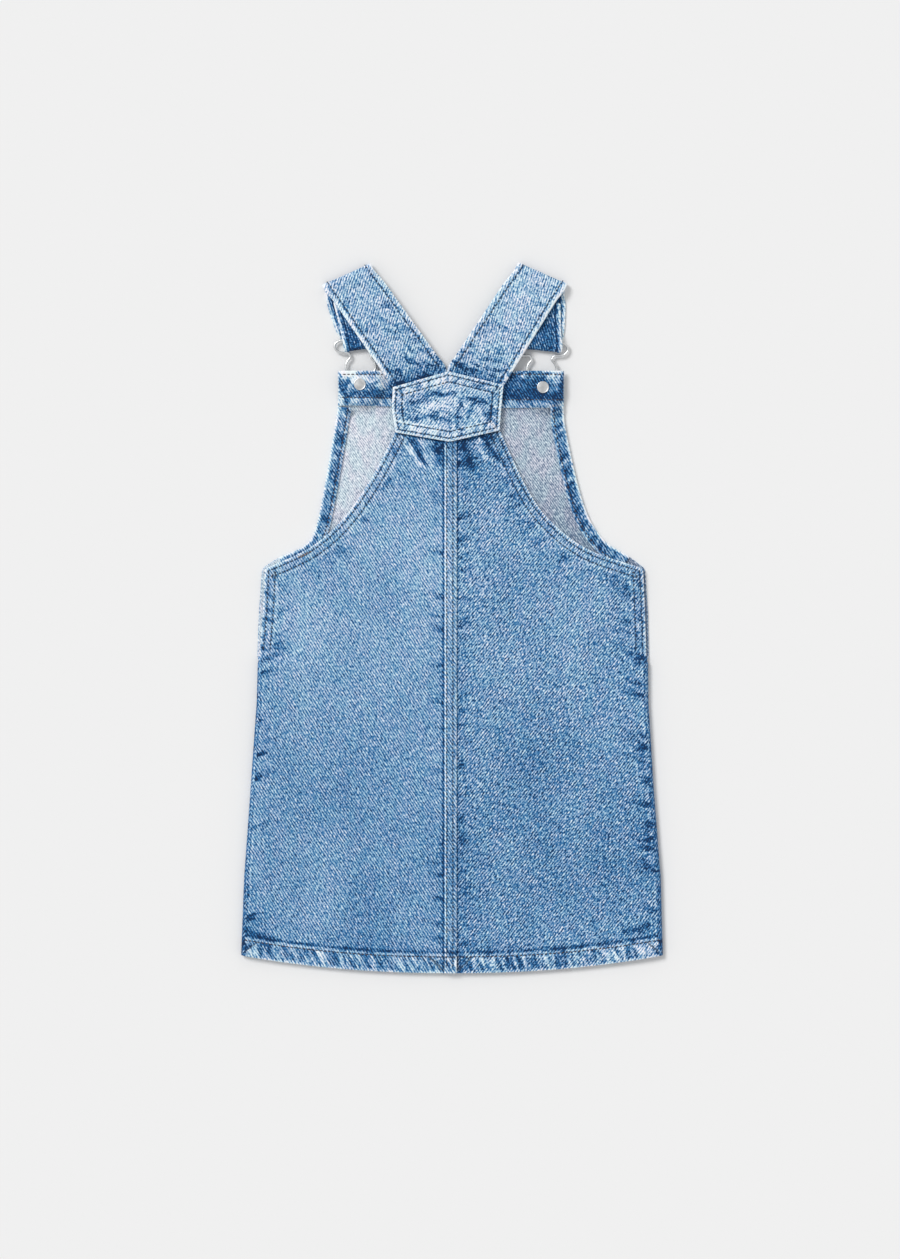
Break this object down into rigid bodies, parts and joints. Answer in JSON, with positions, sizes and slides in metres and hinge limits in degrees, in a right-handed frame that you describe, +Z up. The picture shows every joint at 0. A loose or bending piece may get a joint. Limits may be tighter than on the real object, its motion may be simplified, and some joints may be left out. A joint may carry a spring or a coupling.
{
  "type": "denim pinafore dress",
  "caption": "Child's washed denim pinafore dress laid flat with its back upwards, straps folded over and hooked to the bib with wire buckles.",
  "frame": {"origin": "middle of the dress on the surface that it lies on", "axes": "+Z up from the surface, +Y from the hem to the shoulders, +X to the right seen from above"},
  "size_m": [0.2949, 0.4964, 0.0082],
  "materials": {
    "denim": "stone-washed light blue twill, matt, paler along its seams",
    "denim_dark": "the same twill where it is turned to the inside and has kept its dye",
    "steel": "bright nickel-plated wire and buttons"
  },
  "bodies": {
    "root": {"front_panel": "denim", "bib_top_facing": "denim_dark", "bib_edge_left": "denim_dark", "bib_edge_right": "denim_dark", "back_left": "denim", "back_right": "denim", "back_yoke": "denim", "strap_left": "denim", "strap_right": "denim", "buckle_left": "steel", "buckle_right": "steel", "button_left": "steel", "button_right": "steel"}
  },
  "joints": []
}
